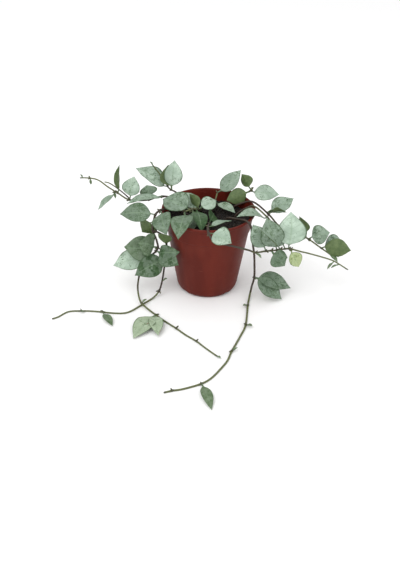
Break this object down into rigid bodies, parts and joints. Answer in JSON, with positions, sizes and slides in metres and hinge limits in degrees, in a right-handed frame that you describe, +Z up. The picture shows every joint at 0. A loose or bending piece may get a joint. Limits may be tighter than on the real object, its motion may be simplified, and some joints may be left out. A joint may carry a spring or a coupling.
{
  "type": "potted hoya plant",
  "caption": "Silver-leaved hoya with upright, arching and trailing vines growing from soil in a round tapered plastic nursery pot with a lipped collar.",
  "frame": {"origin": "centre of the flat underside of the pot, on the surface it stands on", "axes": "+Z up along the pot's axis; -Y towards the front of the plant, +X to its right"},
  "size_m": [0.3235, 0.2794, 0.1361],
  "materials": {
    "pot_plastic": "satin brick red, lightly scuffed",
    "soil_mix": "loose dark bark and peat mix, matte",
    "leaf": "waxy silver green over dark green, olive beneath",
    "stem": "matte brown to olive green"
  },
  "bodies": {
    "root": {"leaf_back_narrow": "leaf", "leaf_far_left_drooping": "leaf", "leaf_far_left_flat": "leaf", "leaf_far_left_low": "leaf", "leaf_far_left_round": "leaf", "leaf_far_left_upright": "leaf", "leaf_front": "leaf", "leaf_inner_dark": "leaf", "leaf_inner_narrow": "leaf", "leaf_inner_olive": "leaf", "leaf_inner_pointed": "leaf", "leaf_inner_streaked": "leaf", "leaf_left_broad": "leaf", "leaf_left_draped": "leaf", "leaf_left_lowest": "leaf", "leaf_left_pale": "leaf", "leaf_left_pointed": "leaf", "leaf_left_small_olive": "leaf", "leaf_left_underside": "leaf", "leaf_pair_inner_left": "leaf", "leaf_pair_left_by_pot": "leaf", "leaf_pair_left_middle": "leaf", "leaf_pair_right_end": "leaf", "leaf_pair_right_hanging": "leaf", "leaf_pair_right_low": "leaf", "leaf_pair_right_upper": "leaf", "leaf_pair_table_left": "leaf", "leaf_pair_upright_back": "leaf", "leaf_pair_upright_left": "leaf", "leaf_right_behind": "leaf", "leaf_right_edge_on": "leaf", "leaf_right_far": "leaf", "leaf_right_hidden": "leaf", "leaf_right_over_rim": "leaf", "leaf_right_round_large": "leaf", "leaf_right_round_small": "leaf", "leaf_right_tall": "leaf", "leaf_right_yellow": "leaf", "leaf_rim_left": "leaf", "leaf_small_table_left": "leaf", "leaf_table_front": "leaf", "leaf_upright_left_long": "leaf", "leaf_upright_right_dark": "leaf", "leaf_upright_right_inner": "leaf", "leaf_upright_right_outer": "leaf", "pot": "pot_plastic", "soil": "soil_mix", "twig_far_left": "stem", "vine_far_left": "stem", "vine_front": "stem", "vine_right_lower": "stem", "vine_right_upper": "stem", "vine_short_left": "stem", "vine_trailing_far_left": "stem", "vine_trailing_left": "stem", "vine_trailing_right": "stem", "vine_upright_back": "stem", "vine_upright_left": "stem", "vine_upright_right": "stem"}
  },
  "joints": []
}
